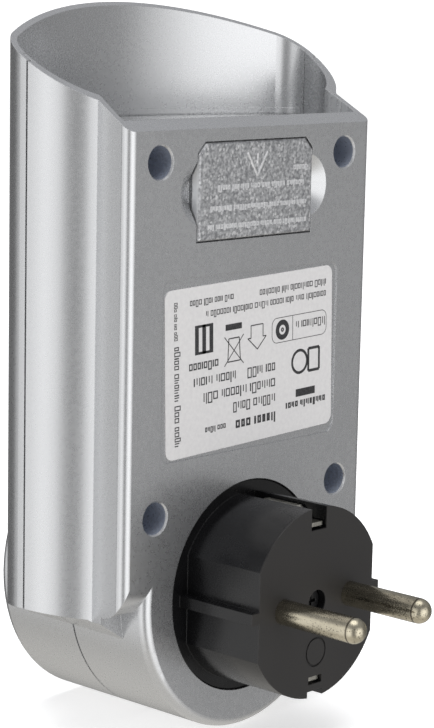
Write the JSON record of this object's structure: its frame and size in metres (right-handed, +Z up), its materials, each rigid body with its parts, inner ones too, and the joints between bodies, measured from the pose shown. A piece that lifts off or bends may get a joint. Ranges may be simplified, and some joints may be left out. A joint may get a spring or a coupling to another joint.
{
  "type": "plug in power meter",
  "caption": "Energy meter that plugs into a wall outlet and passes the supply to a socket on its front, with a display, keys and a coin cell compartment.",
  "frame": {"origin": "centre of the plug's face, on the plug axis, midway between the pins", "axes": "+Y along the pins into the wall outlet, +Z up towards the hood, +X to the right when the socket and display are looked at"},
  "size_m": [0.0798, 0.0762, 0.1378],
  "materials": {
    "silver_shell": "satin silver paint on moulded plastic",
    "black_plug": "satin black moulded plastic",
    "plated_pins": "nickel plated brass with fine wear scratches",
    "earth_metal": "nickel plated spring strip",
    "screw_steel": "zinc plated steel",
    "black_socket": "satin black moulded plastic",
    "shutter_plastic": "natural moulded plastic",
    "spring_steel": "bright spring steel",
    "contact_brass": "stamped brass",
    "shunt_metal": "resistance alloy sheet",
    "tinted_window": "clear smoked acrylic with a printed dark border",
    "lcd_glass": "grey green display glass",
    "lcd_rubber": "layered elastomer strip",
    "circuit_board": "green solder mask",
    "chip_epoxy": "moulded epoxy",
    "key_rubber": "translucent silicone rubber",
    "key_plastic": "satin dark grey moulded plastic",
    "capacitor_case": "moulded box",
    "varistor_coat": "dipped epoxy",
    "fuse_ceramic": "ceramic body",
    "ribbon_film": "flat flexible cable",
    "tray_plastic": "dark moulded plastic",
    "cell_steel": "nickel plated steel",
    "cover_plastic": "spark eroded silver plastic",
    "label_film": "printed polyester film"
  },
  "bodies": {
    "housing": {"front_housing": "silver_shell", "rear_housing": "silver_shell", "plug_body": "black_plug", "plug_pin_left": "plated_pins", "plug_pin_right": "plated_pins", "plug_earth_strip_top": "earth_metal", "plug_earth_strip_bottom": "earth_metal", "plug_centre_screw": "screw_steel", "earth_ring": "earth_metal", "socket_insert": "black_socket", "socket_earth_clip_top": "earth_metal", "socket_earth_clip_bottom": "earth_metal", "shutter_spring": "spring_steel", "shutter_retainer": "spring_steel", "live_contact": "contact_brass", "neutral_contact": "contact_brass", "live_bar": "contact_brass", "shunt_resistor": "shunt_metal", "display_window": "tinted_window", "lcd_module": "lcd_glass", "lcd_connector": "lcd_rubber", "display_board": "circuit_board", "meter_chip": "chip_epoxy", "key_mat": "key_rubber", "power_board": "circuit_board", "film_capacitor": "capacitor_case", "varistor": "varistor_coat", "fuse": "fuse_ceramic", "ribbon_cable": "ribbon_film", "battery_tray": "tray_plastic", "battery_cells": "cell_steel", "battery_spring": "spring_steel", "battery_plate": "spring_steel", "rating_label": "label_film", "housing_screws": "screw_steel"},
    "socket_shutter": {"socket_shutter": "shutter_plastic"},
    "key_func": {"key_func": "key_plastic"},
    "key_down": {"key_down": "key_plastic"},
    "key_up": {"key_up": "key_plastic"},
    "key_set": {"key_set": "key_plastic"},
    "key_reset": {"key_reset": "key_plastic"},
    "battery_cover": {"battery_cover": "cover_plastic"}
  },
  "joints": [
    {"name": "key_func_press", "type": "slide", "parent": "housing", "child": "key_func", "axis": [0, 1, 0], "range_m": [0, 0.0008], "stiffness_N_per_m": 900, "springref_m": -0.0005},
    {"name": "key_down_press", "type": "slide", "parent": "housing", "child": "key_down", "axis": [0, 1, 0], "range_m": [0, 0.0008], "stiffness_N_per_m": 900, "springref_m": -0.0005},
    {"name": "key_up_press", "type": "slide", "parent": "housing", "child": "key_up", "axis": [0, 1, 0], "range_m": [0, 0.0008], "stiffness_N_per_m": 900, "springref_m": -0.0005},
    {"name": "key_set_press", "type": "slide", "parent": "housing", "child": "key_set", "axis": [0, 1, 0], "range_m": [0, 0.0008], "stiffness_N_per_m": 900, "springref_m": -0.0005},
    {"name": "key_reset_press", "type": "slide", "parent": "housing", "child": "key_reset", "axis": [0, 1, 0], "range_m": [0, 0.0008], "stiffness_N_per_m": 900, "springref_m": -0.0005},
    {"name": "shutter_turn", "type": "hinge", "parent": "housing", "child": "socket_shutter", "pos_m": [0, -0.036, 0], "axis": [0, 1, 0], "range_deg": [0, 42], "stiffness_Nm_per_rad": 0.006, "springref_deg": -20.05},
    {"name": "battery_cover_pull", "type": "slide", "parent": "housing", "child": "battery_cover", "axis": [0, 1, 0], "range_m": [0, 0.012]}
  ]
}
